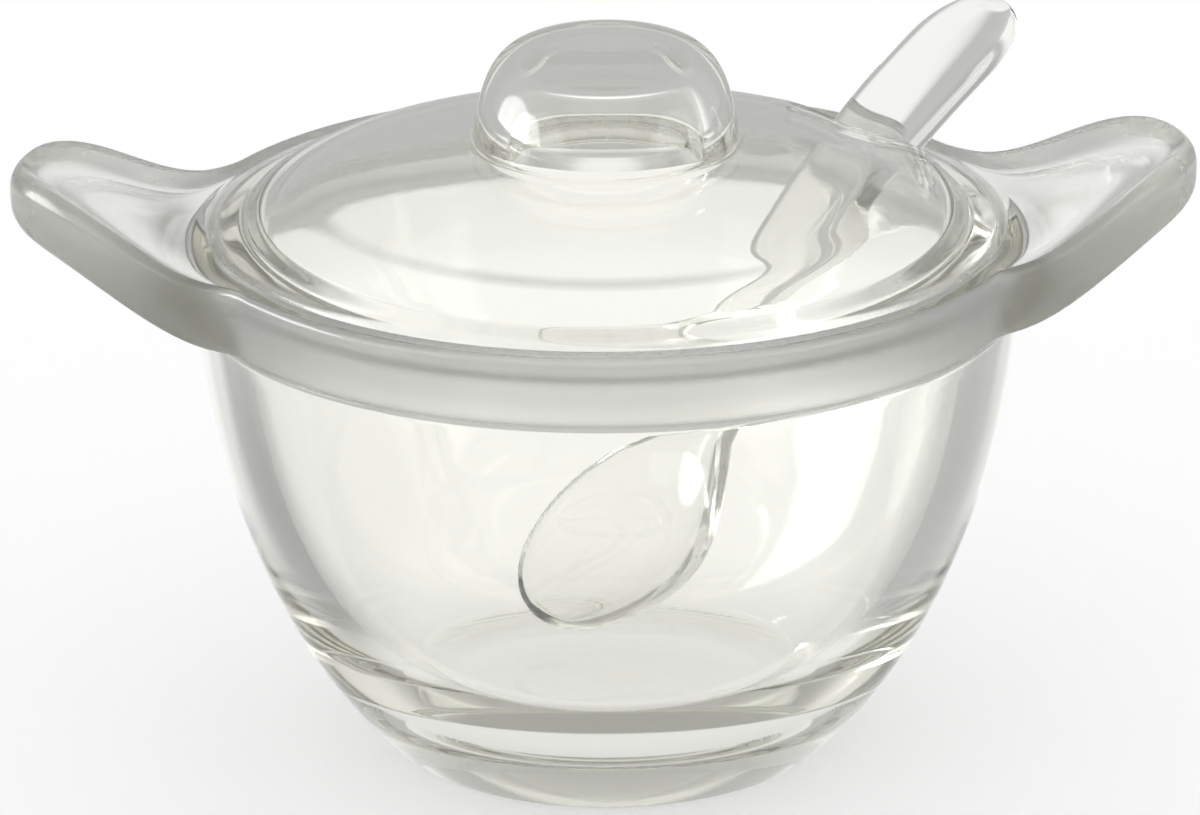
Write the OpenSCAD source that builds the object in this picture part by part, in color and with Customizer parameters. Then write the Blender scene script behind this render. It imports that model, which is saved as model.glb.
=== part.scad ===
// Parmesan pot of clear plastic: a thick-walled bowl with two raised ears,
// a domed lid with a hollow knob and an edge notch, and a spoon that leans in the notch.
// Millimetres, +Z up, origin at the centre of the underside, ears along X, front at -Y.

/* [Bowl] */
// height of the rim top above the table
bowl_h = 69.4; // [60:0.2:80]
// radius of the flat underside
base_r = 28.6; // [24:0.2:34]
// rounding where the underside turns into the wall
base_round = 2.6; // [1:0.1:4]
// slope of the wall where it leaves the underside, degrees
foot_lean = 46; // [35:1:60]
// outside radius of the wall just under the rim band
wall_r = 52.6; // [48:0.2:57]
// slope of the wall under the rim band, degrees off upright
mouth_lean = 5.4; // [2:0.2:9]
// fullness of the wall low down, as a share of the wall height
low_full = 0.25; // [0.15:0.01:0.35]
// fullness of the wall high up, as a share of the wall height
high_full = 0.54; // [0.4:0.01:0.65]
// wall thickness at the mouth
wall_t = 6; // [5:0.1:7]
// thickness of the floor
floor_t = 8.8; // [7:0.1:11]
// radius of the flat part of the floor inside
floor_r = 14; // [8:0.5:18]
// fullness of the inside just above the floor
floor_full = 18; // [13:0.5:21]
// fullness of the inside high up, as a share of the inside height
inside_full = 0.87; // [0.75:0.01:0.92]

/* [Rim and ears] */
// how far the rim band stands out from the wall
rim_proud = 1.05; // [0.6:0.05:1.6]
// height of the rim band
rim_h = 8.7; // [7.5:0.1:10]
// rounding of the band edges
rim_round = 1.2; // [0.6:0.1:1.6]
// width of the rim outside the lid seat
rim_w = 3.4; // [2.8:0.1:4.2]
// depth of the lid seat below the rim top
seat_depth = 3.9; // [3.2:0.1:4.6]
// distance from ear tip to ear tip
ear_span = 150; // [140:1:160]
// angle that half an ear takes up on the rim
ear_half = 30.5; // [27:0.5:36]
// how far the ear tips stand above the rim
ear_rise = 9; // [7:0.2:10.5]
// thickness of an ear near its tip
ear_t = 8.8; // [8:0.1:9.6]
// rounding of the ear edges
ear_round = 3.7; // [2.8:0.1:3.9]
// hollowing of the ear tops
ear_dish = 1.2; // [0:0.1:2]

/* [Lid] */
// gap between the lid edge and the wall of the seat
lid_gap = 0.6; // [0.4:0.05:1]
// height of the upright lid edge
edge_h = 3.1; // [2.6:0.1:3.6]
// rounding of the lid's upper edge
edge_round = 1.7; // [1:0.1:2.2]
// height of the dome from its edge to the foot of the knob
dome_rise = 9.4; // [7:0.2:11]
// thickness of the dome
dome_t = 4.6; // [4:0.1:5.4]
// width of the flat ring that rests on the seat
land_w = 6; // [4.5:0.1:7.5]
// width of the spoon notch
notch_w = 17; // [16:0.2:19.4]
// depth of the spoon notch from the lid edge
notch_depth = 14.5; // [13.5:0.2:17]
// rounding of the notch corners
notch_round = 4; // [2:0.2:6]

/* [Knob] */
// radius of the knob where it meets the dome
knob_r = 16.7; // [14:0.1:19]
// height of the knob
knob_h = 13.2; // [11:0.1:16]
// inward lean of the knob side, degrees
knob_lean = 7; // [3:0.5:10]
// rounding between the dome and the knob
knob_fillet = 1; // [0.6:0.1:1.6]
// wall thickness of the hollow knob
knob_wall = 6; // [5:0.1:7]
// thickness of the knob top over the hollow
knob_top = 5.4; // [4.5:0.1:6.5]

/* [Spoon] */
// direction from the pot axis to where the handle crosses the rim, degrees from +X
cross_angle = 34.8; // [30:0.2:42]
// direction the spoon points in plan, degrees from +X
spoon_turn = 27; // [22:0.5:32]
// roll of the spoon about its own length, degrees
spoon_roll = 20; // [14:1:26]
// plan distance from the rim crossing back to the spoon tip
reach = 56; // [52:0.5:60]
// length of handle beyond the rim crossing
handle_out = 18.8; // [16:0.2:22]
// width of the handle
handle_w = 13.2; // [11.4:0.1:13.8]
// thickness of the handle
handle_t = 5.2; // [4.4:0.1:5.6]
// width of the neck between handle and spoon bowl
neck_w = 8; // [7:0.1:9]
// width of the spoon bowl
scoop_w = 24.4; // [21:0.2:26]
// length of the spoon bowl
scoop_l = 42; // [38:0.5:45]
// depth of the spoon bowl
scoop_depth = 5; // [3:0.1:5.4]
// wall thickness of the spoon bowl
scoop_t = 2.4; // [2:0.1:3]
// upward bow of the spoon along its length
spoon_bow = 2.4; // [1.6:0.1:3]
// height of the spoon tip's middle line over the floor
tip_lift = 4; // [3.4:0.1:5]
// gap kept between the spoon and the pot
spoon_gap = 0.6; // [0.4:0.05:1]

/* [Hidden] */
$fn = 128;
CURVE_STEPS = 36;
ROUND_STEPS = 8;
EAR_STEPS = 36;
EAR_TOP_STEPS = 6;
EAR_ROUND_STEPS = 4;
SPOON_STEPS = 44;
SPOON_SIDES = 20;
OVERLAP = 0.4;
TILT_FACTOR = 1.45;
INSIDE_LEAN_SHARE = 0.7;
EAR_START_SHARE = 0.75;
EAR_FLAT_SHARE = 0.7;
KNOB_FLAT_SHARE = 0.6;
HOLLOW_ROUND_SHARE = 0.35;
LAND_SLOPE_SHARE = 0.3;
SCOOP_WIDE_SHARE = 0.42;
SCOOP_SKEW = 0.8;
END_ROUND_SHARE = 0.8;
END_THIN_SHARE = 0.35;
SPOON_ENDS_SHARE = 0.999;

rim_r = wall_r + rim_proud;
band_z = bowl_h - rim_h;
seat_r = rim_r - rim_w;
seat_z = bowl_h - seat_depth;
bore_r = wall_r - wall_t;
tip_r = ear_span / 2;
ear_from = rim_r * cos(ear_half * EAR_START_SHARE);
ear_to = tip_r - ear_round * EAR_FLAT_SHARE;
lid_r = seat_r - lid_gap;
lid_top_z = seat_z + edge_h + edge_round;
lid_shoulder_r = lid_r - edge_round;
knob_z = lid_top_z + dome_rise;
knob_foot_r = knob_r + knob_fillet;
dome_r = sqrt(pow(lid_shoulder_r, 2)
    + pow((pow(lid_shoulder_r, 2) - pow(knob_foot_r, 2) - pow(dome_rise, 2)) / (2 * dome_rise), 2));
dome_z = lid_top_z - sqrt(pow(dome_r, 2) - pow(lid_shoulder_r, 2));
knob_top_z = knob_z + knob_h;
land_r = lid_r - land_w;

// point on a cubic curve
function curve_at(p, t) = pow(1 - t, 3) * p[0] + 3 * pow(1 - t, 2) * t * p[1]
    + 3 * (1 - t) * t * t * p[2] + pow(t, 3) * p[3];
// points along a cubic curve, without its first point
function curve(p) = [for (i = [1:CURVE_STEPS]) curve_at(p, i / CURVE_STEPS)];
// points along an arc
function arc(c, r, from, to) = [for (i = [0:ROUND_STEPS]) c + r * polar(from + (to - from) * i / ROUND_STEPS)];
// unit direction in the profile plane
function polar(a) = [cos(a), sin(a)];
// smooth step from 0 to 1
function ease(t) = let (k = min(1, max(0, t))) k * k * (3 - 2 * k);

// outside of the wall from underside to rim band
wall_foot_arc = arc([base_r - base_round * tan(foot_lean / 2), base_round], base_round, -90, foot_lean - 90);
wall_start = wall_foot_arc[ROUND_STEPS];
wall_end = [wall_r, band_z];
wall_curve = curve([
    wall_start,
    wall_start + low_full * band_z * polar(foot_lean),
    wall_end - high_full * band_z * polar(90 - mouth_lean),
    wall_end]);
// inside of the bowl from floor to seat
inside_end = [bore_r, seat_z];
inside_curve = curve([
    [floor_r, floor_t],
    [floor_r + floor_full, floor_t],
    inside_end - inside_full * (seat_z - floor_t) * polar(90 - mouth_lean * INSIDE_LEAN_SHARE),
    inside_end]);

// height share of an ear above the rim at a distance along X
function ear_lift(x) = ease((abs(x) - ear_from) / (ear_to - ear_from));
// outline swell of an ear by angle from its middle
function ear_swell(a) = (1 + cos(180 * a / ear_half)) / 2;
// outer radius of an ear, sunk into the band at its two ends
function ear_r(a) = rim_r - OVERLAP + (tip_r - rim_r + OVERLAP) * ear_swell(a);
// top and underside of an ear at a radius and angle
function ear_top(r, a, k) = bowl_h - OVERLAP * (1 - ear_swell(a)) + ear_rise * ear_lift(r * cos(a))
    - ear_dish * sin(180 * k) * ear_swell(a);
function ear_low(r, a) = band_z + OVERLAP * (1 - ear_swell(a))
    + (ear_rise + rim_h - ear_t) * ear_lift(r * cos(a));
// closed outline of an ear cut at one angle, as [radius, height]
function ear_section(a) = let (
    r0 = rim_r - rim_w / 2,
    r1 = ear_r(a),
    b = rim_round + (ear_round - rim_round) * ear_swell(a),
    zt = ear_top(r1 - b, a, 1),
    zl = ear_low(r1 - b, a))
    concat(
        [for (i = [0:EAR_TOP_STEPS]) let (k = i / EAR_TOP_STEPS, r = r0 + (r1 - b - r0) * k) [r, ear_top(r, a, k)]],
        [for (i = [1:EAR_ROUND_STEPS]) [r1 - b, zt - b] + b * polar(90 - 90 * i / EAR_ROUND_STEPS)],
        [for (i = [0:EAR_ROUND_STEPS - 1]) [r1 - b, zl + b] + b * polar(-90 * i / EAR_ROUND_STEPS)],
        [for (i = [0:EAR_TOP_STEPS]) let (k = 1 - i / EAR_TOP_STEPS, r = r0 + (r1 - b - r0) * k) [r, ear_low(r, a)]]);
// skin of a body swept through rows of points, closed by flat ends
function sweep_faces(rows, n) = concat(
    [[for (j = [0:n - 1]) j]],
    [for (i = [0:rows - 2], j = [0:n - 1]) [i * n + j, (i + 1) * n + j, (i + 1) * n + (j + 1) % n]],
    [for (i = [0:rows - 2], j = [0:n - 1]) [i * n + j, (i + 1) * n + (j + 1) % n, i * n + (j + 1) % n]],
    [[for (j = [0:n - 1]) rows * n - 1 - j]]);

// one raised ear on the +X side
module ear() {
    sections = [for (i = [0:EAR_STEPS]) let (a = ear_half * (2 * i / EAR_STEPS - 1))
        [for (p = ear_section(a)) [p[0] * cos(a), p[0] * sin(a), p[1]]]];
    polyhedron([for (s = sections) each s], sweep_faces(EAR_STEPS + 1, len(sections[0])), convexity = 4);
}

// turned body of the bowl with its rim band and lid seat
module bowl_body() {
    rotate_extrude()
        polygon(concat(
            [[0, 0]],
            wall_foot_arc,
            wall_curve,
            arc([rim_r - rim_round, band_z + rim_round], rim_round, -90, 0),
            arc([rim_r - rim_round, bowl_h - rim_round], rim_round, 0, 90),
            [[seat_r, bowl_h], [seat_r, seat_z]],
            [for (i = [0:CURVE_STEPS - 1]) inside_curve[CURVE_STEPS - 1 - i]],
            [[floor_r, floor_t], [0, floor_t]]));
}

// bowl, rim band and both ears in one moulding
module pot() {
    color([0.93, 0.94, 0.9, 0.6])
        union() {
            bowl_body();
            ear();
            mirror([1, 0, 0])
                ear();
        }
}

// side of the knob from its foot to the middle of its top
knob_fillet_arc = arc([knob_foot_r, knob_z + knob_fillet], knob_fillet, -90, -180);
knob_side = knob_fillet_arc[ROUND_STEPS];
knob_curve = curve([
    knob_side,
    knob_side + knob_h * polar(90 + knob_lean),
    [knob_r * KNOB_FLAT_SHARE, knob_top_z],
    [0, knob_top_z]]);
// half angle of the dome at a radius
function dome_angle(r) = asin(r / dome_r);
// points on the dome between two radii, at a depth below its top face
function dome_line(r0, r1, depth) = [for (i = [0:CURVE_STEPS]) let (r = r0 + (r1 - r0) * i / CURVE_STEPS)
    [r, dome_z + sqrt(pow(dome_r - depth, 2) - r * r)]];
hollow_r = knob_r - knob_wall;
hollow_top_z = knob_top_z - knob_top;
hollow_round = hollow_r * HOLLOW_ROUND_SHARE;

// domed lid with its hollow knob, turned in one piece
module lid_body() {
    rotate_extrude()
        polygon(concat(
            [[land_r, seat_z], [lid_r - edge_round / 2, seat_z]],
            arc([lid_r - edge_round / 2, seat_z + edge_round / 2], edge_round / 2, -90, 0),
            arc([lid_shoulder_r, lid_top_z - edge_round], edge_round, 0, 90 - dome_angle(lid_shoulder_r)),
            dome_line(lid_shoulder_r, knob_foot_r, 0),
            knob_fillet_arc,
            knob_curve,
            [[0, hollow_top_z]],
            arc([hollow_r - hollow_round, hollow_top_z - hollow_round], hollow_round, 90, 0),
            dome_line(hollow_r, land_r - dome_t * LAND_SLOPE_SHARE, dome_t)));
}

// plan shape that the spoon handle passes through
module notch() {
    rotate(cross_angle)
        translate([lid_r - notch_depth, 0, 0])
            linear_extrude(height = knob_top_z)
                union() {
                    translate([notch_round, -notch_w / 2])
                        square([notch_depth, notch_w]);
                    translate([0, notch_round - notch_w / 2])
                        square([notch_depth, notch_w - 2 * notch_round]);
                    for (side = [-1, 1])
                        translate([notch_round, side * (notch_w / 2 - notch_round)])
                            circle(r = notch_round);
                }
}

// lid with the notch for the spoon
module lid() {
    color([0.95, 0.96, 0.92, 0.6])
        difference() {
            lid_body();
            notch();
        }
}

// spoon placing: the handle passes just over the inner edge of the rim, the tip just over the floor
cross_half = sqrt(pow(handle_t / 2 * cos(spoon_roll), 2) + pow(handle_w / 2 * sin(spoon_roll), 2));
cross_at = [seat_r * cos(cross_angle), seat_r * sin(cross_angle)];
tip_z = floor_t + spoon_gap + tip_lift;
cross_lift = spoon_gap + cross_half * TILT_FACTOR;
spoon_drop = bowl_h + cross_lift - tip_z;
spoon_pitch = atan2(spoon_drop, reach);
cross_x = sqrt(pow(spoon_drop, 2) + pow(reach, 2));
spoon_l = cross_x + handle_out;
scoop_c = scoop_l * SCOOP_WIDE_SHARE;
end_l = handle_w * END_ROUND_SHARE;

// bow of the spoon's middle line
function spoon_mid(x) = 27 / 4 * spoon_bow * pow(x / cross_x, 2) * (1 - x / cross_x);
// rounding of the handle end
function end_round(x) = sqrt(1 - pow((x - spoon_l + end_l) / end_l, 2));
// half width of the spoon along its length
function spoon_half(x) =
    x < scoop_c ? scoop_w / 2 * sqrt(1 - pow(1 - x / scoop_c, 2)) :
    x < scoop_l ? neck_w / 2 + (scoop_w - neck_w) / 2 * (1 - ease((x - scoop_c) / (scoop_l - scoop_c))) :
    x < spoon_l - end_l ? neck_w / 2 + (handle_w - neck_w) / 2 * ease((x - scoop_l) / (cross_x - scoop_l)) :
    handle_w / 2 * end_round(x);
// share of the spoon bowl's hollow along its length
function scoop_share(x) = x > scoop_l ? 0 : sin(180 * pow(x / scoop_l, SCOOP_SKEW));
// thickness of the spoon along its length
function spoon_thick(x) = (scoop_t + (handle_t - scoop_t) * ease((x - scoop_c) / (scoop_l - scoop_c)))
    * (x > spoon_l - end_l ? END_THIN_SHARE + (1 - END_THIN_SHARE) * end_round(x) : 1);
// stations along the spoon, closer together at both ends
function station(i) = spoon_l * (1 - SPOON_ENDS_SHARE * cos(180 * i / SPOON_STEPS)) / 2;

// spoon laid along X with its hollow side up
module spoon_flat() {
    sections = [for (i = [0:SPOON_STEPS]) let (x = station(i), w = spoon_half(x), t = spoon_thick(x))
        [for (j = [0:SPOON_SIDES - 1]) let (a = 360 * j / SPOON_SIDES)
            [x, w * cos(a), spoon_mid(x) + t / 2 * sin(a) * sqrt(1 + pow(cos(a), 2))
                - scoop_depth * scoop_share(x) * pow(sin(a), 2)]]];
    polyhedron([for (s = sections) each s], sweep_faces(SPOON_STEPS + 1, SPOON_SIDES), convexity = 6);
}

// spoon leaning in the pot
module spoon() {
    color([0.97, 0.97, 0.95, 0.7])
        translate([cross_at[0], cross_at[1], bowl_h + cross_lift])
            rotate([0, 0, spoon_turn])
                rotate([0, -spoon_pitch, 0])
                    rotate([spoon_roll, 0, 0])
                        translate([-cross_x, 0, 0])
                            spoon_flat();
}

pot();
lid();
spoon();
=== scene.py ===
"""Looks of the parmesan pot: three clear mouldings, a pale studio and the camera.

Lengths are in metres and angles in degrees.
"""

import logging
import math
from dataclasses import dataclass
from enum import Enum
from functools import cache
from typing import Callable

import bmesh
import bpy
from mathutils import Matrix, Quaternion, Vector


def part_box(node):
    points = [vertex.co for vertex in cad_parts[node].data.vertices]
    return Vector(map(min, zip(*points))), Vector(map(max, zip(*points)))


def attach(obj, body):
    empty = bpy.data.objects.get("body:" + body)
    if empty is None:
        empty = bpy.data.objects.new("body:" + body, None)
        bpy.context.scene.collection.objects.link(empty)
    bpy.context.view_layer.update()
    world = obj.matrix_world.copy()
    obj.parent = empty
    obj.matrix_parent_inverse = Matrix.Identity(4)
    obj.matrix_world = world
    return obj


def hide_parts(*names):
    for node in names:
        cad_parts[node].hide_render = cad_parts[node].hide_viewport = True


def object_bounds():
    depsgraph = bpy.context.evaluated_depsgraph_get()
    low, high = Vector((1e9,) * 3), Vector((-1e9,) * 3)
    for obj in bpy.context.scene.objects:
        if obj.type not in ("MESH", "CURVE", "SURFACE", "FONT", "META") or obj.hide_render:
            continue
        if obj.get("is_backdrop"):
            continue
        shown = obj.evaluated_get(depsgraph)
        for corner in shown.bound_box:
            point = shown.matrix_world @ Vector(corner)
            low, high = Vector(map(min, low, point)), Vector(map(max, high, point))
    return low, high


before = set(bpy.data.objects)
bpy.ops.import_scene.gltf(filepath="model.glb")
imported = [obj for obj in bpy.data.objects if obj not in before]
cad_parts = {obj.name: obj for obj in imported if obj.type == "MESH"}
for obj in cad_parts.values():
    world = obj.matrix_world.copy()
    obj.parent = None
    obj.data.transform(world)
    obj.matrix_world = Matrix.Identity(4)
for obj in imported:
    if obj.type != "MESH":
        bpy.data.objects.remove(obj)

CAD_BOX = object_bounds()
FULL_TURN = 2.0 * math.pi
WELD = 1e-7
# Mesh attribute with the share of satin finish, which also sets painted shade in the colour.
SATIN_AND_SHADE = "satin"
WHITE = (1, 1, 1, 1)
BOW_SCALE = 27 / 4  # brings the peak of k² (1 - k) to 1
DIP_SCALE = 16  # brings the peak of (k (1 - k))² to 1
log = logging.getLogger("parmesan_pot")

Socket = bpy.types.NodeSocket
Colour = tuple[float, float, float]
Span = tuple[float, float]


class Body(Enum):
    """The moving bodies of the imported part."""

    POT = "pot_body"
    SPOON = "spoon_body"
    LID = "lid_body"


class Ray(Enum):
    """Kinds of ray that come off or through a clear piece."""

    GLOSSY = "Is Glossy Ray"
    TRANSMISSION = "Is Transmission Ray"


def polar(degrees: float) -> Vector:
    """Unit direction in the profile plane, radius first and height second."""
    return Vector((math.cos(math.radians(degrees)), math.sin(math.radians(degrees))))


def ease(share: float) -> float:
    """Smooth step from 0 to 1."""
    k = min(1.0, max(0.0, share))
    return k * k * (3.0 - 2.0 * k)


def line(start: Vector, end: Vector, steps: int) -> list[Vector]:
    """Points along a straight stretch, without its first point."""
    return [start.lerp(end, i / steps) for i in range(1, steps + 1)]


def arc(centre: Vector, radii: Span, start: float, end: float, steps: int) -> list[Vector]:
    """Points along a stretch of an ellipse in the profile plane.

    Args:
        centre: middle of the ellipse.
        radii: half width and half height.
        start: first angle in degrees.
        end: last angle in degrees.
        steps: number of stretches.

    Returns:
        The points, with both ends.
    """
    points = []
    for i in range(steps + 1):
        way = polar(start + (end - start) * i / steps)
        points.append(centre + Vector((radii[0] * way.x, radii[1] * way.y)))
    return points


def curve(
    ends: tuple[Vector, Vector, Vector, Vector], steps: int, last: float = 1.0
) -> list[Vector]:
    """Points along a cubic curve, without its first point.

    Args:
        ends: start, two handles and end.
        steps: number of stretches.
        last: share of the curve at which the points stop.

    Returns:
        The points from start to end.
    """
    points = []
    for i in range(1, steps + 1):
        t = last * i / steps
        s = 1.0 - t
        points.append(
            ends[0] * s ** 3
            + ends[1] * 3 * s * s * t
            + ends[2] * 3 * s * t * t
            + ends[3] * t ** 3
        )
    return points


def turned(
    profile: list[Vector],
    columns: int,
    place: Callable[[int, int], Vector],
    satin: Callable[[int, int], float],
) -> bmesh.types.BMesh:
    """Spins a profile about the upright axis, then moves each vertex to its own place.

    Args:
        profile: radius and height from the axis round to the axis again.
        columns: number of steps in the full turn.
        place: gives the place of a profile point, by its number, in a column.
        satin: gives the share of satin finish and painted shade of a profile point in a column.

    Returns:
        A closed mesh with its faces outwards.
    """
    bm = bmesh.new()
    station = bm.verts.layers.int.new("station")
    sheen = bm.verts.layers.float.new(SATIN_AND_SHADE)
    verts = [bm.verts.new((p.x, 0.0, p.y)) for p in profile]
    for i, vert in enumerate(verts):
        vert[station] = i
    edges = [bm.edges.new(pair) for pair in zip(verts, verts[1:])]
    bmesh.ops.spin(
        bm,
        geom=[*verts, *edges],
        axis=(0, 0, 1),
        cent=(0, 0, 0),
        angle=FULL_TURN,
        steps=columns,
        use_merge=True,
    )
    on_axis = [v for v in bm.verts if v.co.xy.length < WELD]
    bmesh.ops.remove_doubles(bm, verts=on_axis, dist=WELD)
    for vert in bm.verts:
        column = round(math.atan2(vert.co.y, vert.co.x) / FULL_TURN * columns) % columns
        vert[sheen] = satin(vert[station], column)
        vert.co = place(vert[station], column)
    bmesh.ops.recalc_face_normals(bm, faces=bm.faces)
    return bm


class Wiring:
    """Short way to add linked nodes to a node tree."""

    def __init__(self, tree: bpy.types.NodeTree) -> None:
        """Keeps the tree that the nodes go into."""
        self.tree = tree

    def node(self, name: str) -> bpy.types.Node:
        """A node that the tree already has."""
        return self.tree.nodes[name]

    def add(self, kind: str) -> bpy.types.Node:
        """A new node."""
        return self.tree.nodes.new(kind)

    def feed(self, socket: Socket, value: Socket | float) -> None:
        """Links a socket, or sets it where the value is a number.

        Args:
            socket: the input that is fed.
            value: an output, or a number.
        """
        if isinstance(value, Socket):
            self.tree.links.new(value, socket)
        else:
            socket.default_value = value

    def coords(self, name: str) -> Socket:
        """Texture coordinates by name."""
        return self.add("ShaderNodeTexCoord").outputs[name]

    def axes(self, vector: Socket) -> tuple[Socket, ...]:
        """Splits a vector.

        Args:
            vector: what is split.

        Returns:
            Its three parts.
        """
        split = self.add("ShaderNodeSeparateXYZ")
        self.feed(split.inputs["Vector"], vector)
        return tuple(split.outputs)

    def math(self, operation: str, *values: Socket | float) -> Socket:
        """One sum on sockets or numbers.

        Args:
            operation: Blender's name for the sum.
            values: what it works on.

        Returns:
            The socket with the result.
        """
        node = self.add("ShaderNodeMath")
        node.operation = operation
        for socket, value in zip(node.inputs, values):
            self.feed(socket, value)
        return node.outputs["Value"]

    def ramp(
        self, value: Socket, start: float, end: float, low: float = 0.0, high: float = 1.0
    ) -> Socket:
        """A smooth step.

        Args:
            value: what is followed.
            start: where the step begins.
            end: where it ends, which may be below the start.
            low: result before the step.
            high: result after it.

        Returns:
            The socket with the result.
        """
        node = self.add("ShaderNodeMapRange")
        node.interpolation_type = "SMOOTHSTEP"
        if start > end:
            start, end, low, high = end, start, high, low
        for socket, number in zip(node.inputs, (value, start, end, low, high)):
            self.feed(socket, number)
        return node.outputs["Result"]

    def blend(self, share: Socket, first: Colour, second: Colour) -> Socket:
        """A mix of two colours.

        Args:
            share: share of the second colour.
            first: colour at 0.
            second: colour at 1.

        Returns:
            The socket with the colour.
        """
        node = self.add("ShaderNodeMix")
        node.data_type = "RGBA"
        self.feed(node.inputs["Factor"], share)
        node.inputs["A"].default_value = (*first, 1.0)
        node.inputs["B"].default_value = (*second, 1.0)
        return node.outputs["Result"]

    def scaled(self, colour: Socket, factor: Socket) -> Socket:
        """A colour made lighter or darker.

        Args:
            colour: what is changed.
            factor: what it is multiplied by.

        Returns:
            The socket with the colour.
        """
        node = self.add("ShaderNodeVectorMath")
        node.operation = "SCALE"
        self.feed(node.inputs["Vector"], colour)
        self.feed(node.inputs["Scale"], factor)
        return node.outputs["Vector"]

    def noise(self, place: Socket, scale: float, detail: float) -> Socket:
        """Noise from 0 to 1.

        Args:
            place: coordinates.
            scale: waves per metre.
            detail: octaves.

        Returns:
            The socket with the noise.
        """
        node = self.add("ShaderNodeTexNoise")
        self.feed(node.inputs["Vector"], place)
        node.inputs["Scale"].default_value = scale
        node.inputs["Detail"].default_value = detail
        return node.outputs["Fac"]

    def bump(
        self, height: Socket, strength: float, depth: float, under: Socket | None = None
    ) -> Socket:
        """Fine relief in the surface.

        Args:
            height: pattern of the relief.
            strength: how much of it shows.
            depth: its depth at full strength.
            under: relief that this one lies on.

        Returns:
            The socket with the normal.
        """
        node = self.add("ShaderNodeBump")
        node.inputs["Strength"].default_value = strength
        node.inputs["Distance"].default_value = depth
        self.feed(node.inputs["Height"], height)
        if under is not None:
            self.feed(node.inputs["Normal"], under)
        return node.outputs["Normal"]

    def through_glass(self) -> Socket:
        """1 for rays that come off or through a clear piece, 0 for the others."""
        path = self.add("ShaderNodeLightPath")
        return self.math("MAXIMUM", *(path.outputs[ray.value] for ray in Ray))


@dataclass(frozen=True)
class ClearPlastic:
    """Polished clear moulding with a faint warm cast, flow marks and fine wear, and painted shade
    that darkens its satin parts.
    """

    name: str
    satin_rough: float = 0.5
    satin_painted_shade: float = 0.85
    tint: Colour = (0.992, 0.992, 0.966)
    cloud: Colour = (0.982, 0.982, 0.955)
    cloud_scale: float = 60.0
    cloud_detail: float = 2.0
    absorb: Colour = (0.93, 0.93, 0.915)
    density: float = 60.0
    ior: float = 1.5
    smooth: float = 0.015
    worn: float = 0.06
    wear_scale: float = 320.0
    wear_detail: float = 4.0
    wear_span: Span = (0.45, 0.8)
    flow_scale: float = 28.0
    flow_detail: float = 1.0
    flow_strength: float = 0.02
    flow_depth: float = 0.004
    scratch_detail: float = 6.0
    scratch_strength: float = 0.008
    scratch_depth: float = 0.0004

    def material(self) -> bpy.types.Material:
        """Builds the node material of this finish.

        Returns:
            The material, which reads the satin share from the mesh and darkens its colour by it as
            painted shade.
        """
        material = bpy.data.materials.new(self.name)
        material.use_nodes = True
        wires = Wiring(material.node_tree)
        shader = wires.node("Principled BSDF")
        shader.inputs["Transmission Weight"].default_value = 1.0
        shader.inputs["IOR"].default_value = self.ior
        place = wires.coords("Object")
        satin = wires.add("ShaderNodeAttribute")
        satin.attribute_name = SATIN_AND_SHADE
        share = satin.outputs["Fac"]
        clouds = wires.noise(place, self.cloud_scale, self.cloud_detail)
        cast = wires.blend(clouds, self.tint, self.cloud)
        # Painted shade: the satin share darkens the base colour of satin parts.
        shade = wires.ramp(share, 0.0, 1.0, 1.0, self.satin_painted_shade)
        wires.feed(shader.inputs["Base Color"], wires.scaled(cast, shade))
        spots = wires.noise(place, self.wear_scale, self.wear_detail)
        wear = wires.ramp(spots, *self.wear_span, self.smooth, self.worn)
        rough = wires.math("ADD", wear, wires.math("MULTIPLY", share, self.satin_rough))
        wires.feed(shader.inputs["Roughness"], rough)
        wires.feed(shader.inputs["Coat Weight"], share)
        waves = wires.noise(place, self.flow_scale, self.flow_detail)
        flow = wires.bump(waves, self.flow_strength, self.flow_depth)
        grain = wires.noise(place, self.wear_scale, self.scratch_detail)
        scratch = wires.bump(grain, self.scratch_strength, self.scratch_depth, flow)
        wires.feed(shader.inputs["Normal"], scratch)
        absorb = wires.add("ShaderNodeVolumeAbsorption")
        absorb.inputs["Color"].default_value = (*self.absorb, 1.0)
        absorb.inputs["Density"].default_value = self.density
        wires.feed(wires.node("Material Output").inputs["Volume"], absorb.outputs["Volume"])
        return material


def finished(
    name: str, bm: bmesh.types.BMesh, finish: ClearPlastic, body: Body, node: str
) -> bpy.types.Object:
    """Turns a bmesh into a dressed piece that rides its body and stands for its CAD node.

    Args:
        name: name of the piece.
        bm: the finished form, which is freed.
        finish: how the piece looks.
        body: the body that carries it.
        node: the CAD node that it stands for.

    Returns:
        The new object.
    """
    for face in bm.faces:
        face.smooth = True
    mesh = bpy.data.meshes.new(name)
    bm.to_mesh(mesh)
    bm.free()
    piece = bpy.data.objects.new(name, mesh)
    bpy.context.scene.collection.objects.link(piece)
    mesh.materials.append(finish.material())
    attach(piece, body.value)
    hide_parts(node)
    triangles = sum(len(p.vertices) - 2 for p in mesh.polygons)
    log.info("%s: %d triangles on %s", name, triangles, body.value)
    return piece


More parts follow.
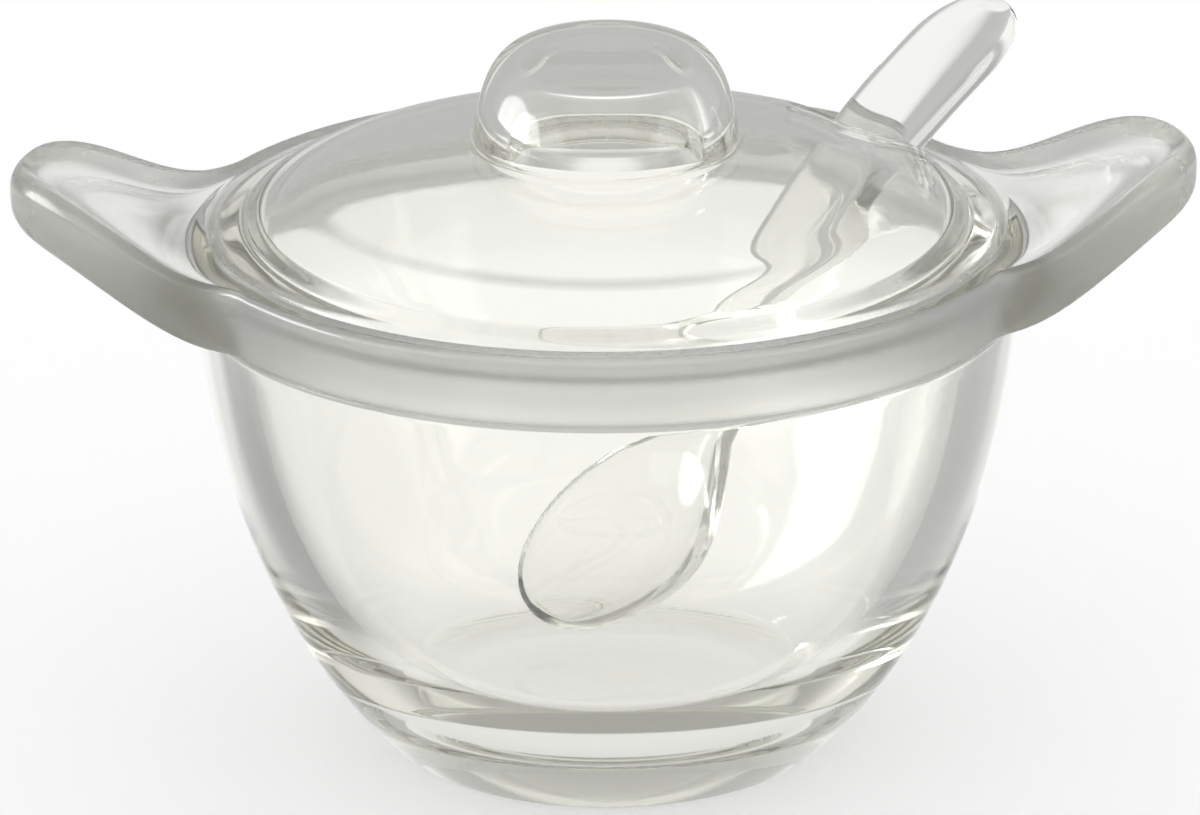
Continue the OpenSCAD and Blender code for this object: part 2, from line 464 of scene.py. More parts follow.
@dataclass
class Pot:
    """Thick-walled bowl with its rim band, lid seat and two raised ears, all one moulding."""

    bowl_h: float = 0.0694
    base_r: float = 0.0286
    base_round: float = 0.0026
    foot_lean: float = 46.0
    wall_r: float = 0.0526
    mouth_lean: float = 5.4
    low_full: float = 0.25
    high_full: float = 0.54
    wall_stop: float = 0.985
    wall_t: float = 0.006
    floor_t: float = 0.0088
    floor_r: float = 0.014
    floor_full: float = 0.018
    inside_full: float = 0.75
    inside_lean_share: float = 0.7
    bowl_stop: float = 0.99
    rim_h: float = 0.0087
    rim_w: float = 0.0034
    rim_round: float = 0.0012
    rim_under_share: float = 0.7
    rim_deep_share: float = 1.4
    rim_step: float = 0.0001
    lip_round: float = 0.0005
    lip_cut_share: float = 0.3
    ear_half: float = 30.5
    ear_start_share: float = 0.75
    ear_flat_share: float = 0.7
    ear_t: float = 0.0088
    ear_round: float = 0.0037
    ear_dish: float = 0.0018
    crease_turn: float = 58.0
    # Satin shares set roughness and also painted shade: band, ear sides and seat darker, ear tops
    # nearly clear.
    ear_gloss: float = 0.55
    seat_satin_and_shade: float = 0.8
    faint_satin_and_shade: float = 0.15
    columns: int = 288
    flat_steps: int = 6
    foot_steps: int = 8
    wall_steps: int = 52
    bowl_steps: int = 56
    lip_steps: int = 5
    seat_steps: int = 4
    under_steps: int = 14
    round_steps: int = 10
    side_steps: int = 4
    top_steps: int = 20
    satin_lap: int = 2
    seat_points: int = 20
    finish: ClearPlastic = ClearPlastic("pot_plastic")

    def __post_init__(self) -> None:
        """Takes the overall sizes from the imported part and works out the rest."""
        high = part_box("pot")[1]
        self.tip_r = high.x
        self.rim_r = high.y
        self.ear_rise = high.z - self.bowl_h
        self.seat_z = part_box("lid")[0].z
        self.band_z = self.bowl_h - self.rim_h
        self.seat_r = self.rim_r - self.rim_w
        self.bore_r = self.wall_r - self.wall_t
        ear_start = math.radians(self.ear_half * self.ear_start_share)
        self.ear_from = self.rim_r * math.cos(ear_start)
        self.ear_to = self.tip_r - self.ear_round * self.ear_flat_share
        self.outside = self.outside_line()
        self.inside = self.inside_line()
        self.seat_from = len(self.outside) + len(self.band(0.0))

    def outside_line(self) -> list[Vector]:
        """Draws the underside and the wall.

        Returns:
            The line from the axis up to just below the rim band.
        """
        inset = self.base_round * math.tan(math.radians(self.foot_lean / 2))
        foot = Vector((self.base_r - inset, self.base_round))
        flat = self.flat_steps
        points = [Vector((foot.x * i / flat, 0.0)) for i in range(flat)]
        radii = (self.base_round, self.base_round)
        points += arc(foot, radii, -90, self.foot_lean - 90, self.foot_steps)
        top = Vector((self.wall_r, self.band_z))
        ends = (
            points[-1],
            points[-1] + polar(self.foot_lean) * self.low_full * self.band_z,
            top - polar(90 - self.mouth_lean) * self.high_full * self.band_z,
            top,
        )
        return points + curve(ends, self.wall_steps, self.wall_stop)

    def inside_line(self) -> list[Vector]:
        """Draws the lid seat and the inside of the bowl.

        Returns:
            The line from the rim's inner edge down to the axis.
        """
        lip, steps = self.lip_round, self.seat_steps
        radii = (lip, lip)
        cut = lip * self.lip_cut_share
        top = Vector((self.bore_r, self.seat_z))
        lean = polar(90 - self.mouth_lean * self.inside_lean_share)
        ends = (
            Vector((self.floor_r, self.floor_t)),
            Vector((self.floor_r + self.floor_full, self.floor_t)),
            top - lean * self.inside_full * (self.seat_z - self.floor_t),
            top,
        )
        crown = Vector((self.seat_r + lip, self.bowl_h - lip))
        corner = Vector((self.seat_r - lip, self.seat_z + lip))
        points = arc(crown, radii, 90, 180, self.lip_steps)
        points += line(points[-1], Vector((self.seat_r, self.seat_z + lip)), steps)
        points += arc(corner, radii, 0, -90, steps)[1:]
        points += line(points[-1], Vector((self.bore_r + lip, self.seat_z)), steps)
        points += line(points[-1], Vector((self.bore_r + cut, self.seat_z - cut)), 1)
        points += curve(ends, self.bowl_steps, self.bowl_stop)[::-1]
        flat = self.flat_steps
        points += [Vector((self.floor_r * (1 - i / flat), self.floor_t)) for i in range(flat + 1)]
        return points

    def swell(self, angle: float) -> float:
        """Share of the ear's reach.

        Args:
            angle: degrees from the ear's middle.

        Returns:
            From 1 at the middle to 0 at the ear's ends and past them.
        """
        if angle >= self.ear_half:
            return 0.0
        return (1.0 + math.cos(math.pi * angle / self.ear_half)) / 2.0

    def lift(self, x: float) -> float:
        """Share of the ear's rise at a distance along X."""
        return ease((x - self.ear_from) / (self.ear_to - self.ear_from))

    def band(self, angle: float) -> list[Vector]:
        """Rim band, or the ear, cut at one angle from the ear's middle.

        Args:
            angle: degrees from the middle of the nearest ear.

        Returns:
            The line from the wall, round the outside, to the rim's inner edge.
        """
        swell = self.swell(angle)
        along = math.cos(math.radians(angle))
        reach = self.rim_r + (self.tip_r - self.rim_r) * swell
        fuller = (self.ear_round - self.rim_round) * swell
        edge = self.rim_round + fuller
        under = (self.rim_r - self.wall_r) * self.rim_under_share + fuller
        deep = self.rim_round * self.rim_deep_share + fuller

        def top_at(r: float, k: float) -> Vector:
            """Point of the top at a radius and a share of the way across the dish."""
            z = self.bowl_h + self.ear_rise * self.lift(r * along)
            return Vector((r, z - self.ear_dish * math.sin(math.pi * k) * swell))

        def low_at(r: float) -> Vector:
            """Point of the underside at a radius."""
            rise = self.ear_rise + self.rim_h - self.ear_t
            return Vector((r, self.band_z + rise * self.lift(r * along)))

        start = self.wall_r + self.rim_step
        span = reach - under - start
        points = [low_at(start + span * i / self.under_steps) for i in range(self.under_steps + 1)]
        middle = points[-1] + Vector((0, deep))
        points += arc(middle, (under, deep), -90, 0, self.round_steps)[1:]
        inner = self.seat_r + self.lip_round
        crease = polar(self.crease_turn) * edge
        outer = reach - edge + crease.x
        shares = [k / self.top_steps for k in range(self.top_steps, -1, -1)]
        tops = [top_at(inner + (outer - inner) * share, share) for share in shares]
        crown = arc(tops[0] - crease, (edge, edge), 0, self.crease_turn, self.round_steps)
        points += line(points[-1], crown[0], self.side_steps)
        points += crown[1:]
        points += tops[1:]
        return points

    def ear_angle(self, column: int) -> float:
        """Degrees from the middle of the nearest ear in a column."""
        turn = 360.0 * column / self.columns % 180.0
        return min(turn, 180.0 - turn)

    @cache
    def section(self, column: int) -> tuple[Vector, ...]:
        """Whole profile of the pot in one column of the turned form."""
        return (*self.outside, *self.band(self.ear_angle(column)), *self.inside[1:])

    def place(self, station: int, column: int) -> Vector:
        """Finds the place of a profile point.

        Args:
            station: number of the point in the profile.
            column: column of the turned form.

        Returns:
            Its place in the pot.
        """
        point = self.section(column)[station]
        turn = FULL_TURN * column / self.columns
        return Vector((point.x * math.cos(turn), point.x * math.sin(turn), point.y))

    def __hash__(self) -> int:
        """One pot is one object, so that its sections can be kept."""
        return id(self)

    def satin(self, station: int, column: int) -> float:
        """Clear wall, satin band and seat, glossier ears with nearly clear tops. The share also
        sets painted shade, so the band, the ear sides and the seat read darker than the wall and
        the ear tops.

        Args:
            station: number of the point in the profile.
            column: column of the turned form.

        Returns:
            Share of satin finish and painted shade.
        """
        band_from = len(self.outside)
        if station < band_from or station >= self.seat_from + self.seat_points:
            return 0.0
        if station >= self.seat_from:
            return self.seat_satin_and_shade
        side_from = band_from + self.under_steps - self.satin_lap
        top_from = self.seat_from - self.top_steps + 1
        if side_from <= station < top_from:
            return 1.0 - self.ear_gloss * self.swell(self.ear_angle(column))
        return self.faint_satin_and_shade

    def build(self) -> bpy.types.Object:
        """Models and dresses the pot."""
        bm = turned(list(self.section(0)), self.columns, self.place, self.satin)
        return finished("pot_moulding", bm, self.finish, Body.POT, "pot")


@dataclass
class LidOutline:
    """Plan outline of the lid with its notch, walked at an even pace from the notch's middle."""

    lid_r: float
    notch_w: float
    notch_depth: float
    notch_round: float
    mouth_round: float = 0.0022

    def __post_init__(self) -> None:
        """Works out the pieces of half the outline."""
        self.half = self.notch_w / 2
        self.end_x = self.lid_r - self.notch_depth
        rise = self.half + self.mouth_round
        self.mouth = Vector((math.sqrt((self.lid_r - self.mouth_round) ** 2 - rise ** 2), rise))
        self.mouth_turn = math.atan2(self.mouth.y, self.mouth.x)
        self.lengths = (
            self.half - self.notch_round,
            self.notch_round * math.pi / 2,
            self.mouth.x - self.end_x - self.notch_round,
            self.mouth_round * (self.mouth_turn + math.pi / 2),
            self.lid_r * (math.pi - self.mouth_turn),
        )

    def at(self, share: float) -> tuple[Vector, Vector, float]:
        """Walks along the outline.

        Args:
            share: from 0 to 1 once round, counter-clockwise from the notch's middle.

        Returns:
            The point, the direction into the lid, and the distance past the notch's mouth.
        """
        if share > 0.5:
            point, into, past = self.at(1.0 - share)
            return Vector((point.x, -point.y)), Vector((into.x, -into.y)), past
        way = share * 2 * sum(self.lengths)
        part = 0
        while part < len(self.lengths) - 1 and way > self.lengths[part]:
            way -= self.lengths[part]
            part += 1
        if part == 0:
            return Vector((self.end_x, way)), Vector((-1, 0)), 0.0
        if part == 1:
            into = polar(180 - math.degrees(way / self.notch_round))
            centre = Vector((self.end_x + self.notch_round, self.half - self.notch_round))
            return centre + into * self.notch_round, into, 0.0
        if part == 2:
            x = self.end_x + self.notch_round + way
            return Vector((x, self.half)), Vector((0, 1)), 0.0
        if part == 3:
            out = polar(math.degrees(way / self.mouth_round) - 90)
            return self.mouth + out * self.mouth_round, -out, 0.0
        out = polar(math.degrees(self.mouth_turn + way / self.lid_r))
        return out * self.lid_r, -out, way


@dataclass
class Lid:
    """Domed lid with a rounded edge, a hollow knob and a notch for the spoon, all one moulding."""

    edge_h: float = 0.0031
    edge_round: float = 0.0017
    dome_rise: float = 0.0094
    dome_t: float = 0.0046
    land_w: float = 0.006
    land_slope: float = 0.0014
    notch_w: float = 0.017
    notch_depth: float = 0.0145
    notch_round: float = 0.004
    notch_turn: float = 34.8
    knob_r: float = 0.0167
    knob_h: float = 0.0132
    knob_lean: float = 7.0
    knob_fillet: float = 0.001
    knob_wall: float = 0.0041
    knob_wall_gain: float = 0.00085
    knob_flat_share: float = 0.6
    mouth_w: float = 0.0008
    mouth_h: float = 0.0007
    crest_r: float = 0.0395
    crest_soft: float = 0.0012
    crest_turn: float = 0.2
    seat_gap: float = 0.00008
    # Satin share of the rounded edge, which also darkens it as painted shade.
    edge_satin_and_shade: float = 0.5
    land_fade: float = 0.008
    fan_w: float = 0.004
    columns: int = 320
    under_steps: int = 28
    slope_steps: int = 8
    land_steps: int = 6
    heel_steps: int = 8
    side_steps: int = 4
    brow_steps: int = 10
    dome_steps: int = 56
    fillet_steps: int = 8
    knob_steps: int = 48
    throat_steps: int = 8
    mouth_steps: int = 6
    finish: ClearPlastic = ClearPlastic("lid_plastic")

    def __post_init__(self) -> None:
        """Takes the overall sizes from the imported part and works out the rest."""
        low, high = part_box("lid")
        self.lid_r = -low.x
        self.seat_z = low.z + self.seat_gap
        self.top_z = low.z + self.edge_h + self.edge_round
        self.shoulder_r = self.lid_r - self.edge_round
        self.knob_z = self.top_z + self.dome_rise
        self.foot_r = self.knob_r + self.knob_fillet
        self.crown_z = high.z
        past = self.crest_turn * (self.bend(self.shoulder_r) - self.bend(self.foot_r))
        self.cap_fall = (self.dome_rise - past) / (self.shoulder_r ** 2 - self.foot_r ** 2)
        self.fan_r = self.foot_r + self.fan_w
        self.slope_r = self.lid_r - self.land_w - self.land_slope
        self.outline = LidOutline(self.lid_r, self.notch_w, self.notch_depth, self.notch_round)
        self.stations = self.profile()

    def bend(self, r: float) -> float:
        """Distance past the crest at a radius, with a soft start."""
        return self.crest_soft * math.log1p(math.exp((r - self.crest_r) / self.crest_soft))

    def slope(self, r: float) -> float:
        """Fall of the top face at a radius."""
        past = 1.0 / (1.0 + math.exp((self.crest_r - r) / self.crest_soft))
        return 2.0 * self.cap_fall * r + self.crest_turn * past

    def dome(self, r: float, depth: float = 0.0) -> float:
        """Shallow cap with a steeper skirt past its crest.

        Args:
            r: radius.
            depth: depth below the top face.

        Returns:
            The height.
        """
        cap = self.cap_fall * (r * r - self.foot_r ** 2)
        skirt = self.crest_turn * (self.bend(r) - self.bend(self.foot_r))
        return self.knob_z - cap - skirt - depth * math.hypot(1.0, self.slope(r))

    def low(self, r: float) -> float:
        """Underside of the lid, with the flat ring that rests on the seat.

        Args:
            r: radius.

        Returns:
            The height.
        """
        under = self.dome(r, self.dome_t)
        ring = ease((r - self.slope_r) / self.land_slope)
        return under + (self.seat_z - under) * ring

    def profile(self) -> list[Vector]:
        """Draws the whole lid.

        Returns:
            The line from the top of the hollow, round the edge, to the middle of the knob.
        """
        knob = self.knob_line()
        points = self.hollow_line(knob)
        start = points[-1].x
        radii = [
            start + (self.slope_r - start) * i / self.under_steps
            for i in range(1, self.under_steps + 1)
        ]
        radii += [
            self.slope_r + self.land_slope * i / self.slope_steps
            for i in range(1, self.slope_steps + 1)
        ]
        points += [Vector((r, self.low(r))) for r in radii]
        half = self.edge_round / 2
        heel = Vector((self.lid_r - half, self.seat_z + half))
        points += line(points[-1], Vector((heel.x, self.seat_z)), self.land_steps)
        points += arc(heel, (half, half), -90, 0, self.heel_steps)[1:]
        tilt = 90 - math.degrees(math.atan(self.slope(self.shoulder_r)))
        brow = polar(tilt) * self.edge_round
        middle = Vector((self.shoulder_r, self.dome(self.shoulder_r + brow.x) - brow.y))
        edge = arc(middle, (self.edge_round, self.edge_round), 0, tilt, self.brow_steps)
        points += line(points[-1], edge[0], self.side_steps)
        points += edge[1:]
        start = points[-1].x
        for i in range(1, self.dome_steps + 1):
            r = start + (self.foot_r - start) * i / self.dome_steps
            points.append(Vector((r, self.dome(r))))
        return points + knob

    def knob_line(self) -> list[Vector]:
        """Draws the outside of the knob.

        Returns:
            The line from its fillet to the middle of its top.
        """
        fillet = Vector((self.foot_r, self.knob_z + self.knob_fillet))
        radii = (self.knob_fillet, self.knob_fillet)
        points = arc(fillet, radii, -90, -180, self.fillet_steps)[1:]
        side = points[-1]
        ends = (
            side,
            side + polar(90 + self.knob_lean) * self.knob_h,
            Vector((self.knob_r * self.knob_flat_share, self.crown_z)),
            Vector((0.0, self.crown_z)),
        )
        return points + curve(ends, self.knob_steps)

    def hollow_line(self, knob: list[Vector]) -> list[Vector]:
        """Draws the inside of the knob under its outside, a little deeper at the top.

        Args:
            knob: outside of the knob.

        Returns:
            The line from the axis to the lid's underside, with the rounded mouth of the hollow.
        """
        top_z = self.crown_z - self.knob_wall - self.knob_wall_gain
        points = [Vector((0.0, top_z))]
        foot_z = knob[0].y
        rise = self.crown_z - foot_z
        last = self.fillet_steps
        for before, after in zip(knob[-2:last:-1], knob[:last:-1]):
            way = (after - before).normalized()
            middle = (before + after) / 2
            depth = self.knob_wall + self.knob_wall_gain * (middle.y - foot_z) / rise
            point = middle + Vector((-way.y, way.x)) * depth
            if point.x > points[-1].x:
                points.append(point)
        low = points[-1]
        mouth_z = self.dome(low.x, self.dome_t) + self.mouth_w
        spread = (low.y - mouth_z) * math.tan(math.radians(self.knob_lean))
        mouth = Vector((low.x + spread, mouth_z))
        points += line(low, mouth, self.throat_steps)
        centre = mouth + Vector((self.mouth_w, 0))
        return points + arc(centre, (self.mouth_w, self.mouth_h), 180, 270, self.mouth_steps)[1:]

    @cache
    def edge(self, column: int) -> tuple[Vector, Vector, float]:
        """Outline point, direction into the lid and distance past the notch in a column."""
        return self.outline.at(column / self.columns)

    def __hash__(self) -> int:
        """One lid is one object, so that its outline points can be kept."""
        return id(self)

    def place(self, station: int, column: int) -> Vector:
        """Finds the place of a profile point, with the outer part drawn to the outline.

        Args:
            station: number of the point in the profile.
            column: column of the turned form.

        Returns:
            Its place in the lid.
        """
        base = self.stations[station]
        way = polar(360.0 * column / self.columns)
        if base.x <= self.fan_r:
            flat, z = way * base.x, base.y
        else:
            point, into, past = self.edge(column)
            inset = self.lid_r - base.x
            rim = point + into * min(inset, self.edge_round)
            span = self.lid_r - self.edge_round - self.fan_r
            flat = rim.lerp(way * self.fan_r, max(0.0, inset - self.edge_round) / span)
            z = self.height(base, flat.length, ease(past / self.land_fade))
        flat = Matrix.Rotation(math.radians(self.notch_turn), 2) @ flat
        return Vector((flat.x, flat.y, z))

    def height(self, base: Vector, r: float, ring: float) -> float:
        """Height of an outer point after it was drawn to another radius.

        Args:
            base: the point in the plain profile, outside the fan round the knob.
            r: its new radius.
            ring: share of the flat ring that is left here, 0 along the notch.

        Returns:
            The new height, at the same share of the lid's thickness.
        """
        low, top = self.low(base.x), self.dome(base.x)
        share = (base.y - low) / (top - low)
        under = max(self.seat_z, self.dome(r, self.dome_t))
        new_low = under + (low - under) * ring
        if r < self.slope_r:
            new_low = under
        return new_low + share * (self.dome(r) - new_low)

    def satin(self, station: int, column: int) -> float:
        """Share of satin finish and painted shade: only on the rounded edge, the same in every
        column.
        """
        past = self.stations[station].x - self.shoulder_r
        return self.edge_satin_and_shade * ease(past / self.edge_round)

    def build(self) -> bpy.types.Object:
        """Models and dresses the lid."""
        bm = turned(self.stations, self.columns, self.place, self.satin)
        return finished("lid_moulding", bm, self.finish, Body.LID, "lid")


@dataclass
class Spoon:
    """Spoon that leans in the pot, with a bowl, a neck and a thick rounded handle."""

    pot: Pot
    cross_turn: float = 34.8
    turn: float = 27.0
    roll: float = 20.0
    reach: float = 0.056
    handle_out: float = 0.0188
    handle_w: float = 0.0132
    handle_t: float = 0.0052
    neck_w: float = 0.008
    scoop_w: float = 0.0244
    scoop_l: float = 0.04
    scoop_depth: float = 0.005
    scoop_t: float = 0.0026
    scoop_wide_share: float = 0.4
    scoop_skew: float = 0.8
    end_round_share: float = 0.8
    bow: float = 0.0024
    sag: float = 0.006
    sag_l: float = 0.054
    tip_lift: float = 0.004
    gap: float = 0.0006
    tilt_factor: float = 1.45
    rings: int = 140
    sides: int = 48
    # Darker tint and cloud and denser absorption than the pot's plastic: painted shade, so the
    # whole spoon reads greyer.
    finish: ClearPlastic = ClearPlastic(
        "spoon_plastic",
        tint=(0.962, 0.962, 0.947),
        cloud=(0.95, 0.95, 0.935),
        absorb=(0.93, 0.93, 0.924),
        density=200.0,
    )

    def __post_init__(self) -> None:
        """Works out how the spoon leans from the pot's own sizes."""
        roll = math.radians(self.roll)
        half = math.hypot(self.handle_t / 2 * math.cos(roll), self.handle_w / 2 * math.sin(roll))
        self.cross_z = self.pot.bowl_h + self.gap + half * self.tilt_factor
        drop = self.cross_z - (self.pot.floor_t + self.gap + self.tip_lift)
        self.pitch = math.atan2(drop, self.reach)
        self.cross_x = math.hypot(drop, self.reach)
        self.length = self.cross_x + self.handle_out
        self.wide_x = self.scoop_l * self.scoop_wide_share
        self.end_l = self.handle_w * self.end_round_share

    def half_width(self, x: float) -> float:
        """Half width of the bowl, the neck and the handle.

        Args:
            x: distance from the tip.

        Returns:
            Half the width there.
        """
        slim, wide, grip = self.neck_w / 2, self.scoop_w / 2, self.handle_w / 2
        if x < self.wide_x:
            return wide * math.sqrt(max(0.0, 1 - (1 - x / self.wide_x) ** 2))
        if x < self.scoop_l:
            narrowing = ease((x - self.wide_x) / (self.scoop_l - self.wide_x))
            return slim + (wide - slim) * (1 - narrowing)
        if x < self.length - self.end_l:
            return slim + (grip - slim) * ease((x - self.scoop_l) / (self.cross_x - self.scoop_l))
        return grip * math.sqrt(max(0.0, 1 - ((x - self.length + self.end_l) / self.end_l) ** 2))

    def thickness(self, x: float) -> float:
        """Thickness of the spoon, round at both ends.

        Args:
            x: distance from the tip.

        Returns:
            The thickness there.
        """
        grow = ease((x - self.wide_x) / (self.scoop_l - self.wide_x))
        thick = self.scoop_t + (self.handle_t - self.scoop_t) * grow
        end = min(x, self.length - x) / (thick / 2)
        return thick * (math.sqrt(max(0.0, 1 - (1 - end) ** 2)) if end < 1 else 1.0)

    def skin(self, on_ball: Vector) -> Vector:
        """Draws a ball out to the spoon, laid along X with its tip at 0.

        Args:
            on_ball: a point on a ball of radius 1.

        Returns:
            Its place on the spoon.
        """
        x = self.length * (1 - max(-1.0, min(1.0, on_ball.z))) / 2
        around = math.atan2(on_ball.y, on_ball.x)
        across, up = math.cos(around), math.sin(around)
        dip = min(1.0, x / self.sag_l)
        mid = BOW_SCALE * self.bow * (x / self.cross_x) ** 2 * (1 - x / self.cross_x)
        mid -= DIP_SCALE * self.sag * (dip * (1 - dip)) ** 2
        hollow = 0.0
        if x < self.scoop_l:
            hollow = math.sin(math.pi * (x / self.scoop_l) ** self.scoop_skew)
        flat_edge = math.copysign(math.sqrt(abs(up)), up)
        round_edge = up * math.sqrt(1 + across ** 2)
        grip = ease((x - self.wide_x) / self.scoop_l)
        body = self.thickness(x) / 2 * (flat_edge + (round_edge - flat_edge) * grip)
        z = mid + body - self.scoop_depth * hollow * up ** 2
        return Vector((x, self.half_width(x) * across, z))

    def build(self) -> bpy.types.Object:
        """Models the spoon from a drawn-out ball, leans it and dresses it.

        Returns:
            The new object.
        """
        bm = bmesh.new()
        bmesh.ops.create_uvsphere(bm, u_segments=self.sides, v_segments=self.rings, radius=1.0)
        for vert in bm.verts:
            vert.co = self.skin(vert.co)
        cross = polar(self.cross_turn) * self.pot.seat_r
        lean = (
            Matrix.Translation((cross.x, cross.y, self.cross_z))
            @ Matrix.Rotation(math.radians(self.turn), 4, "Z")
            @ Matrix.Rotation(-self.pitch, 4, "Y")
            @ Matrix.Rotation(math.radians(self.roll), 4, "X")
            @ Matrix.Translation((-self.cross_x, 0, 0))
        )
        bmesh.ops.transform(bm, matrix=lean, verts=bm.verts)
        bmesh.ops.recalc_face_normals(bm, faces=bm.faces)
        return finished("spoon_moulding", bm, self.finish, Body.SPOON, "spoon")


@dataclass(frozen=True)
class SoftBox:
    """A soft light at the side, by its direction and its strength in clear pieces."""

    to_x: float
    to_y: float
    plain: float
    shine: float


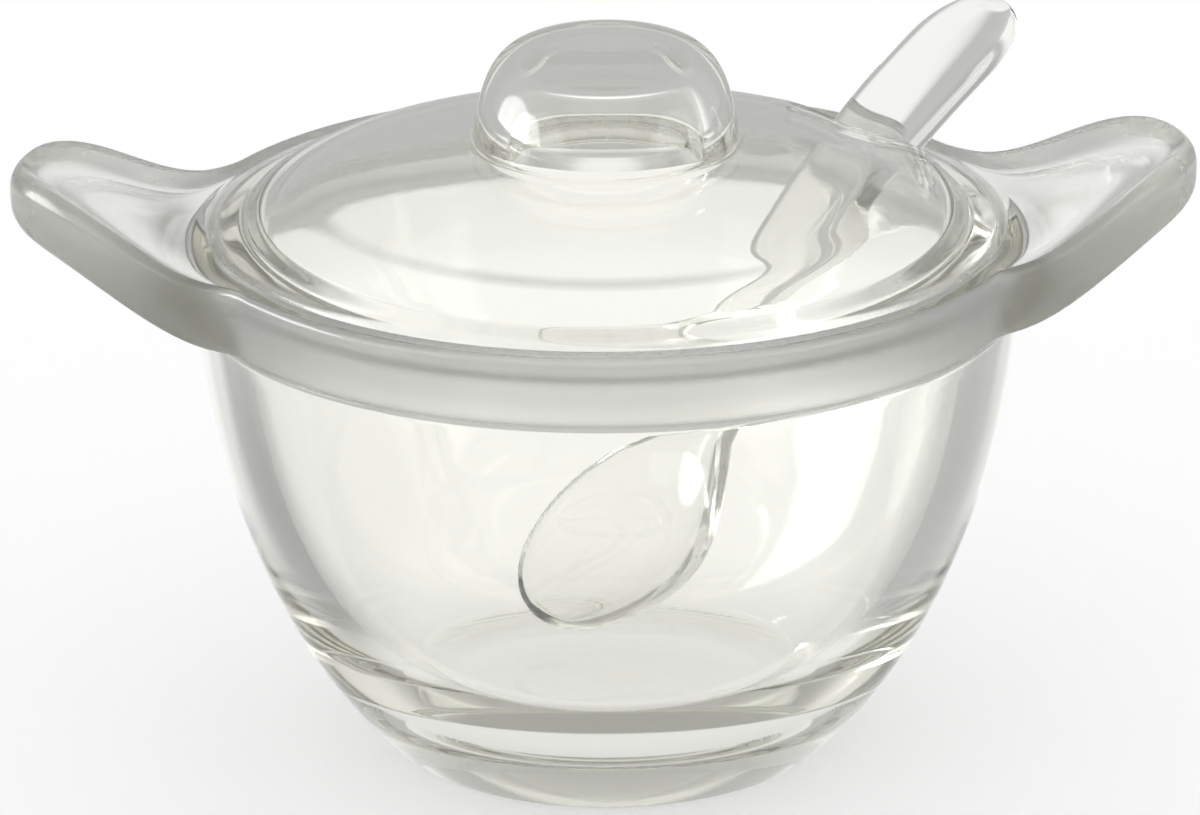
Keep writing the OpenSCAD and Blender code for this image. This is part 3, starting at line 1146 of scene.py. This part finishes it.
@dataclass
class Studio:
    """Pale floor and soft surroundings, white for the camera.

    Clear pieces show shaded sides instead, which draw their forms. A span is where a
    smooth step begins and ends.
    """

    floor_r: float = 4.0
    floor_sides: int = 64
    floor_drop: float = 0.0003
    floor_tone: float = 0.55
    floor_lift: float = 0.45
    floor_rough: float = 0.9
    wedge_w: float = 0.038
    wedge_slope: float = 0.62
    wedge_soft: float = 0.017
    left_tone: float = 0.42
    right_tone: float = 0.52
    left_end: Span = (-0.3, -0.08)
    right_end: Span = (0.4, 0.1)
    middle: Span = (-0.02, 0.02)
    far: Span = (0.28, 0.36)
    # Painted shadow under the pot, seen by clear pieces: its span and tone.
    under: Span = (0.02, 0.06)
    painted_shadow_tone: float = 0.85
    back_tone: float = 0.53
    front_tone: float = 1.15
    back_depth: Span = (0.35, 0.75)
    back_height: Span = (0.9, 0.6)
    box_height: Span = (0.85, 0.6)
    box_edge: Span = (0.92, 0.95)
    boxes: tuple[SoftBox, ...] = (
        SoftBox(-0.99, 0.1, 2.0, 7.0),
        SoftBox(-0.87, -0.49, 0.0, 1.2),
        SoftBox(0.87, -0.49, 0.4, 1.2),
    )
    all_bounces: int = 26
    transmission_bounces: int = 20
    glossy_bounces: int = 22

    def build(self) -> None:
        """Sets up the floor, the surroundings and enough bounces for thick clear walls."""
        self.floor()
        self.surroundings()
        cycles = bpy.context.scene.cycles
        cycles.max_bounces = self.all_bounces
        cycles.transmission_bounces = self.transmission_bounces
        cycles.glossy_bounces = self.glossy_bounces

    def floor(self) -> None:
        """A wide pale floor just under the pot, which keeps the shadow that the camera sees."""
        bm = bmesh.new()
        bmesh.ops.create_circle(
            bm, cap_ends=True, radius=self.floor_r, segments=self.floor_sides
        )
        bmesh.ops.translate(bm, verts=bm.verts, vec=(0, 0, -self.floor_drop))
        mesh = bpy.data.meshes.new("floor")
        bm.to_mesh(mesh)
        bm.free()
        floor = bpy.data.objects.new("floor", mesh)
        bpy.context.scene.collection.objects.link(floor)
        mesh.materials.append(self.floor_paint())
        floor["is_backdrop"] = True

    def floor_paint(self) -> bpy.types.Material:
        """Builds the floor's material.

        Returns:
            Pale paint, and the shaded zones for rays off or through a clear piece.
        """
        material = bpy.data.materials.new("floor_paint")
        material.use_nodes = True
        wires = Wiring(material.node_tree)
        paint = wires.node("Principled BSDF")
        paint.inputs["Base Color"].default_value = (self.floor_tone,) * 3 + (1.0,)
        paint.inputs["Roughness"].default_value = self.floor_rough
        paint.inputs["Specular IOR Level"].default_value = 0.0
        paint.inputs["Emission Color"].default_value = WHITE
        paint.inputs["Emission Strength"].default_value = self.floor_lift
        glow = wires.add("ShaderNodeEmission")
        wires.feed(glow.inputs["Strength"], self.zones(wires))
        mix = wires.add("ShaderNodeMixShader")
        wires.feed(mix.inputs[0], wires.through_glass())
        wires.feed(mix.inputs[1], paint.outputs["BSDF"])
        wires.feed(mix.inputs[2], glow.outputs["Emission"])
        wires.feed(wires.node("Material Output").inputs["Surface"], mix.outputs["Shader"])
        return material

    def zones(self, wires: Wiring) -> Socket:
        """Shades the floor for clear pieces: grey beyond a wedge and far back, with a painted
        shadow under the pot.

        Args:
            wires: the floor's node tree.

        Returns:
            The socket with the tone.
        """
        x, y, _ = wires.axes(wires.coords("Object"))
        wide = wires.math("ABSOLUTE", x)
        spread = wires.math("MULTIPLY", wires.math("ABSOLUTE", y), self.wedge_slope)
        past = wires.math("SUBTRACT", wide, spread)
        side = wires.ramp(past, self.wedge_w - self.wedge_soft, self.wedge_w + self.wedge_soft)
        left_end, right_end = wires.ramp(x, *self.left_end), wires.ramp(x, *self.right_end)
        ends = wires.math("MULTIPLY", left_end, right_end)
        fall = wires.ramp(x, *self.middle, 1.0 - self.left_tone, 1.0 - self.right_tone)
        fall = wires.math("MULTIPLY", fall, wires.math("MULTIPLY", side, ends))
        tone = wires.math("SUBTRACT", 1.0, fall)
        tone = wires.math("MINIMUM", tone, wires.ramp(y, *self.far, 1.0, self.back_tone))
        squares = (wires.math("POWER", x, 2.0), wires.math("POWER", y, 2.0))
        radius = wires.math("SQRT", wires.math("ADD", *squares))
        # Painted shadow: a darker ring under the pot that stands in for its contact shadow.
        under = wires.ramp(radius, *self.under, self.painted_shadow_tone, 1.0)
        return wires.math("MULTIPLY", tone, under)

    def surroundings(self) -> None:
        """White all round, and for clear pieces a greyer low back and the soft boxes."""
        world = bpy.data.worlds.new("surroundings")
        bpy.context.scene.world = world
        world.use_nodes = True
        wires = Wiring(world.node_tree)
        x, y, z = wires.axes(wires.coords("Generated"))
        depth, height = wires.ramp(y, *self.back_depth), wires.ramp(z, *self.back_height)
        back = wires.math("MULTIPLY", depth, height)
        tone = wires.ramp(back, 0.0, 1.0, self.front_tone, self.back_tone)
        low = wires.ramp(z, *self.box_height)
        mirrored = wires.add("ShaderNodeLightPath").outputs[Ray.GLOSSY.value]
        for box in self.boxes:
            along_x = wires.math("MULTIPLY", x, box.to_x)
            along_y = wires.math("MULTIPLY", y, box.to_y)
            facing = wires.math("ADD", along_x, along_y)
            shape = wires.math("MULTIPLY", wires.ramp(facing, *self.box_edge), low)
            strength = wires.ramp(mirrored, 0.0, 1.0, box.plain, box.shine)
            tone = wires.math("ADD", tone, wires.math("MULTIPLY", shape, strength))
        mix = wires.add("ShaderNodeMix")
        wires.feed(mix.inputs["Factor"], wires.through_glass())
        wires.feed(mix.inputs["A"], 1.0)
        wires.feed(mix.inputs["B"], tone)
        white = wires.node("Background")
        white.inputs["Color"].default_value = WHITE
        wires.feed(white.inputs["Strength"], mix.outputs["Result"])


@dataclass
class Viewpoint:
    """Camera at the photograph's viewing angle."""

    target: tuple[float, float, float] = (0.0, 0.0, 0.04)
    distance: float = 0.76
    elevation: float = 20.62
    azimuth: float = -3.4
    roll: float = -0.3
    focal_px: float = 5922.3
    image_px: Span = (1200.0, 815.0)
    target_px: Span = (607.5, 433.3)
    sensor: float = 36.0
    near: float = 0.01

    def build(self) -> None:
        """Makes the camera and gives it to the scene."""
        wide, high = self.image_px
        data = bpy.data.cameras.new("camera")
        data.sensor_width = self.sensor
        data.lens = self.focal_px / wide * self.sensor
        data.shift_x = (wide / 2 - self.target_px[0]) / wide
        data.shift_y = (self.target_px[1] - high / 2) / wide
        data.clip_start = self.near
        camera = bpy.data.objects.new("camera", data)
        bpy.context.scene.collection.objects.link(camera)
        turn, rise = math.radians(self.azimuth), math.radians(self.elevation)
        level = math.cos(rise)
        back = Vector((math.sin(turn) * level, -math.cos(turn) * level, math.sin(rise)))
        camera.location = Vector(self.target) + back * self.distance
        camera.rotation_mode = "QUATERNION"
        upright = (-back).to_track_quat("-Z", "Y")
        camera.rotation_quaternion = upright @ Quaternion((0, 0, 1), math.radians(self.roll))
        bpy.context.scene.camera = camera


def keep_sizes() -> None:
    sizes = {"cad": [list(p) for p in CAD_BOX], "visual": [list(p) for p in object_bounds()]}
    log.info("boxes: %s", sizes)


def main() -> None:
    """Builds the pieces, the studio and the camera in order."""
    logging.basicConfig(level=logging.INFO)
    bpy.context.scene.view_settings.view_transform = "Standard"
    Viewpoint().build()
    Studio().build()
    pot = Pot()
    pot.build()
    Lid().build()
    Spoon(pot).build()
    keep_sizes()


if __name__ == "__main__":
    main()
